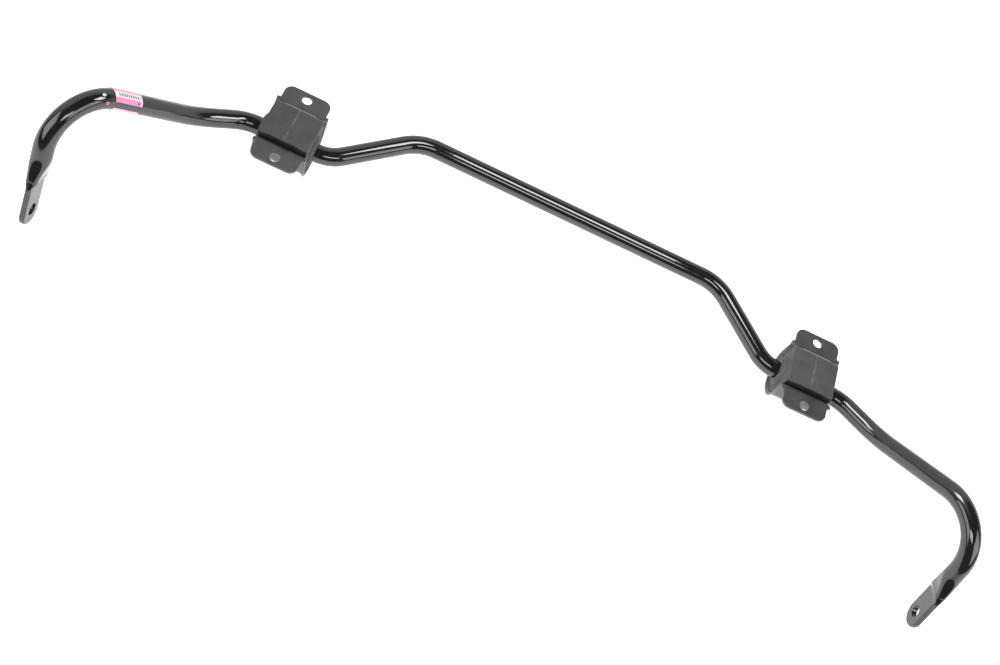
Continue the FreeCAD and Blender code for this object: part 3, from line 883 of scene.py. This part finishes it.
def label_paper():
    """Pink paper with one white band across it that carries a row of plain upright bars; from that band
    round to the paper's far end, paler pink is painted on as a highlight.
    """
    material, nodes, links, shader = finish_tree("label_paper")
    place = nodes.new("ShaderNodeUVMap")
    place.uv_map = "sheet"
    split = nodes.new("ShaderNodeSeparateXYZ")
    links.new(place.outputs["UV"], split.inputs["Vector"])
    along, around = split.outputs["X"], split.outputs["Y"]

    def between(value, low, high, soft):
        """One inside a band, nought outside it, with a soft edge."""
        rise = spread(nodes, links, value, 0.0, 1.0, low - soft, low + soft)
        fall = spread(nodes, links, value, 1.0, 0.0, high - soft, high + soft)
        return combine(nodes, links, "MULTIPLY", rise, fall)

    fibre = spread(nodes, links, surface_noise(nodes, links, 500.0, 4.0), 0.0, 1.0)
    colour = tint(nodes, links, fibre, PINK_DARK, PINK_LIGHT)
    # Painted highlight: paler pink from the white band round to the paper's far end.
    painted_highlight_band = between(around, BAND_ROUND[1], PAPER_EDGE, 0.006)
    colour = lay_over(nodes, links, colour, painted_highlight_band, PINK_PAINTED_HIGHLIGHT)
    band = between(around, *BAND_ROUND, 0.005)
    colour = lay_over(nodes, links, colour, band, BAND_WHITE)
    lower = between(around, -PAPER_EDGE, BAND_ROUND[1], 0.005)
    end = between(along, STRIP_START, PAPER_EDGE, 0.006)
    strip = combine(nodes, links, "MULTIPLY", lower, end)
    colour = lay_over(nodes, links, colour, strip, BAND_WHITE)
    wave = nodes.new("ShaderNodeTexWave")
    wave.wave_type = "BANDS"
    wave.bands_direction = "X"
    wave.inputs["Scale"].default_value = BARS_SCALE
    wave.inputs["Distortion"].default_value = 0.0
    links.new(place.outputs["UV"], wave.inputs["Vector"])
    bars = spread(nodes, links, wave.outputs["Fac"], 0.0, 1.0, 0.45, 0.6)
    bars_round = between(around, *BARS_ROUND, 0.005)
    bars_along = between(along, *BARS_ALONG, 0.01)
    row = combine(nodes, links, "MULTIPLY", bars_round, bars_along)
    colour = lay_over(nodes, links, colour, combine(nodes, links, "MULTIPLY", bars, row), BAR_INK)
    mark_round = between(around, *MARK_ROUND, 0.004)
    mark_along = between(along, *MARK_ALONG, 0.012)
    mark = combine(nodes, links, "MULTIPLY", mark_round, mark_along)
    colour = lay_over(nodes, links, colour, mark, MARK_INK)
    links.new(colour, shader.inputs["Base Color"])
    sheen = spread(nodes, links, surface_noise(nodes, links, 250.0), *PAPER_ROUGHNESS)
    links.new(sheen, shader.inputs["Roughness"])
    raise_grain(nodes, links, shader, surface_noise(nodes, links, 700.0), PAPER_GRAIN)
    return material


label = build_label(label_paper())
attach(label, "bar")
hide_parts("stock_label")

# ------------------------------------------------------------------ paint dabs
# Two dabs of inspection paint beside the label, one white and one pink, each a touch of a marker
# that has dried with an uneven outline and a low crown.
DABS = [
    {"name": "white_dab", "node": "white_paint_dab", "slot": "white_paint", "seed": 4,
     "along": -17.5 * MM, "turn": -19.0, "radius": 1.8 * MM,
     "dark": (0.46, 0.62, 0.56), "light": (0.74, 0.86, 0.80)},
    {"name": "pink_dab", "node": "pink_paint_dab", "slot": "pink_paint", "seed": 9,
     "along": -15.5 * MM, "turn": -66.0, "radius": 1.9 * MM,
     "dark": (0.62, 0.07, 0.27), "light": (0.82, 0.16, 0.42)},
]
DAB_FOOT = 0.02 * MM
DAB_CROWN = 0.22 * MM
DAB_WAVES = (2, 3, 5, 7)        # waves round the outline
DAB_UNEVEN = (0.02, 0.10)       # their size, as a share of the radius
DAB_MEAN = 0.9                  # the outline's mean, as a share of the radius
PAINT_ROUGHNESS = (0.25, 0.4)


def build_dab(dab, paint):
    """Low closed dome of paint that follows the bar's surface."""
    draw = random.Random(dab["seed"])
    waves = []
    for n in DAB_WAVES:
        shift = draw.uniform(0, 2 * math.pi)
        waves.append((n, shift, draw.uniform(*DAB_UNEVEN) / math.sqrt(n)))
    turns, steps = 40, 8
    bm = bmesh.new()

    def place(reach, angle, lift):
        """Point of the dab so far from its centre, so high over the bar."""
        along = dab["along"] + reach * math.cos(angle)
        degrees = dab["turn"] + math.degrees(reach * math.sin(angle) / BAR_RADIUS)
        return bm.verts.new(over_bar(along, degrees, BAR_RADIUS + lift))

    def edge(angle):
        """How far the dab reaches from its centre in one direction."""
        swell = sum(size * math.sin(n * angle + shift) for n, shift, size in waves)
        return dab["radius"] * (DAB_MEAN + swell)

    angles = [2 * math.pi * k / turns for k in range(turns)]
    rings = []
    for share in [k / steps for k in range(1, steps + 1)]:
        lift = DAB_FOOT + (DAB_CROWN - DAB_FOOT) * math.sqrt(max(1 - share ** 3, 0.0))
        rings.append([place(edge(angle) * share, angle, lift) for angle in angles])
    rings.append([place(edge(angle), angle, 0.0) for angle in angles])
    top, foot = place(0.0, 0.0, DAB_CROWN), place(0.0, 0.0, 0.0)
    for i in range(turns):
        j = (i + 1) % turns
        bm.faces.new((top, rings[0][i], rings[0][j]))
        bm.faces.new((foot, rings[-1][j], rings[-1][i]))
        for low, high in zip(rings, rings[1:]):
            bm.faces.new((low[i], high[i], high[j], low[j]))
    bmesh.ops.recalc_face_normals(bm, faces=bm.faces)
    made = object_from(bm, dab["name"])
    made.data.materials.append(paint)
    smooth_shade(made, 60)
    return made


def marker_paint(dab):
    """Marker paint, half gloss, its colour uneven from one place to the next."""
    material, nodes, links, shader = finish_tree(dab["name"] + "_paint")
    body = spread(nodes, links, surface_noise(nodes, links, 1200.0), 0.0, 1.0)
    links.new(tint(nodes, links, body, dab["dark"], dab["light"]), shader.inputs["Base Color"])
    gloss = spread(nodes, links, surface_noise(nodes, links, 900.0), *PAINT_ROUGHNESS)
    links.new(gloss, shader.inputs["Roughness"])
    return material


for dab in DABS:
    made = build_dab(dab, marker_paint(dab))
    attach(made, "bar")
    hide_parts(dab["node"])

# ------------------------------------------------------------------ studio
# A pale floor under the lowest point, lit from below like a light table. A soft box overhead, one in
# front, a large panel on each side and a bright wall behind draw the streaks along the enamel. The
# camera looks down on the brackets' seats from the front left.
FLOOR_SIZE = 40.0
FLOOR_GAP = 0.2 * MM            # left under the lowest point
FLOOR_DULL, FLOOR_WHITE = (0.90, 0.90, 0.90), (0.92, 0.92, 0.92)
FLOOR_GLOW = 0.85
GLOW_COLOUR = (1.0, 0.985, 0.97, 1.0)
GLOW_CENTRE = (0.08, 0.12, 0.0)
GLOW_REACH = (1.4, 4.0)         # the light table's glow fades between these distances from the middle
SOFT_BOXES = [
    {"name": "overhead_box", "place": (0.04, 0.02, 0.46), "aim": (0.04, 0.02, 0.0),
     "size": (0.36, 0.14), "power": 1.7},
    {"name": "front_box", "place": (0.12, -0.75, 0.80), "aim": (0.0, -0.05, 0.0),
     "size": (0.50, 0.22), "power": 2.2},
    {"name": "left_panel", "place": (-1.10, -0.85, 0.75), "aim": (0.0, 0.0, 0.0),
     "size": (1.1, 0.9), "power": 9.0},
    {"name": "right_panel", "place": (1.30, -0.65, 0.75), "aim": (0.0, 0.0, 0.0),
     "size": (1.1, 0.9), "power": 9.0},
]
WALL_BRIGHT = 1.0
ROOM_DARK = 0.14
WALL_SIDE = (-0.25, 0.15)       # how far back a direction points where the wall fades in
WALL_TOP = (0.72, 0.90)         # height at which it fades out again
WALL_SLOPE = 0.5                # how much that height falls to the right
CAMERA_PLACE = (-0.14301, -0.74619, 1.00924)
CAMERA_RIGHT = (0.90305, 0.30991, 0.29742)
CAMERA_AHEAD = (0.0977, 0.52608, -0.84481)
CAMERA_LENS, CAMERA_SENSOR = 43.2, 36.0


def pale_floor():
    """Matt white sheet, lit a little from below as on a light table."""
    material, nodes, links, shader = finish_tree("pale_floor")
    shade = spread(nodes, links, surface_noise(nodes, links, 3.0), 0.0, 1.0)
    links.new(tint(nodes, links, shade, FLOOR_DULL, FLOOR_WHITE), shader.inputs["Base Color"])
    shader.inputs["Roughness"].default_value = 0.9
    shader.inputs["Specular IOR Level"].default_value = 0.2
    shader.inputs["Emission Color"].default_value = GLOW_COLOUR
    reach = nodes.new("ShaderNodeVectorMath")
    reach.operation = "DISTANCE"
    links.new(nodes["place"].outputs["Object"], reach.inputs[0])
    reach.inputs[1].default_value = GLOW_CENTRE
    glow = spread(nodes, links, reach.outputs["Value"], FLOOR_GLOW, 0.0, *GLOW_REACH)
    links.new(glow, shader.inputs["Emission Strength"])
    return material


bm = bmesh.new()
bmesh.ops.create_grid(bm, x_segments=4, y_segments=4, size=FLOOR_SIZE / 2)
bmesh.ops.translate(bm, verts=bm.verts, vec=(0, 0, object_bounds()[0].z - FLOOR_GAP))
floor = object_from(bm, "floor")
floor.data.materials.append(pale_floor())

for box in SOFT_BOXES:
    box_light = bpy.data.lights.new(box["name"], "AREA")
    box_light.shape = "RECTANGLE"
    box_light.size, box_light.size_y = box["size"]
    box_light.energy = box["power"]
    soft_box = bpy.data.objects.new(box["name"], box_light)
    soft_box.location = box["place"]
    beam = Vector(box["aim"]) - Vector(box["place"])
    soft_box.rotation_euler = beam.to_track_quat("-Z", "Y").to_euler()
    soft_box.visible_camera = False
    bpy.context.scene.collection.objects.link(soft_box)

world = bpy.data.worlds.new("studio")
world.use_nodes = True
nodes, links = world.node_tree.nodes, world.node_tree.links
aim = nodes.new("ShaderNodeTexCoord")
split = nodes.new("ShaderNodeSeparateXYZ")
links.new(aim.outputs["Generated"], split.inputs["Vector"])
behind = spread(nodes, links, split.outputs["Y"], 0.0, 1.0, *WALL_SIDE)
slope = combine(nodes, links, "MULTIPLY", split.outputs["X"], WALL_SLOPE)
height = combine(nodes, links, "ADD", slope, split.outputs["Z"])
under = spread(nodes, links, height, 1.0, 0.0, *WALL_TOP)
wall = combine(nodes, links, "MULTIPLY", behind, under)
strength = spread(nodes, links, wall, ROOM_DARK, WALL_BRIGHT, 0.0, 1.0)
links.new(strength, nodes["Background"].inputs["Strength"])
nodes["Background"].inputs["Color"].default_value = (1.0, 1.0, 1.0, 1)
bpy.context.scene.world = world
bpy.context.scene.view_settings.view_transform = "Standard"

camera_data = bpy.data.cameras.new("camera")
camera_data.lens = CAMERA_LENS
camera_data.sensor_width = CAMERA_SENSOR
camera = bpy.data.objects.new("camera", camera_data)
bpy.context.scene.collection.objects.link(camera)
rightwards = Vector(CAMERA_RIGHT).normalized()
ahead = Vector(CAMERA_AHEAD).normalized()
upwards = rightwards.cross(ahead).normalized()
turn = Matrix((rightwards, upwards, -ahead)).transposed().to_4x4()
camera.matrix_world = Matrix.Translation(CAMERA_PLACE) @ turn
bpy.context.scene.camera = camera
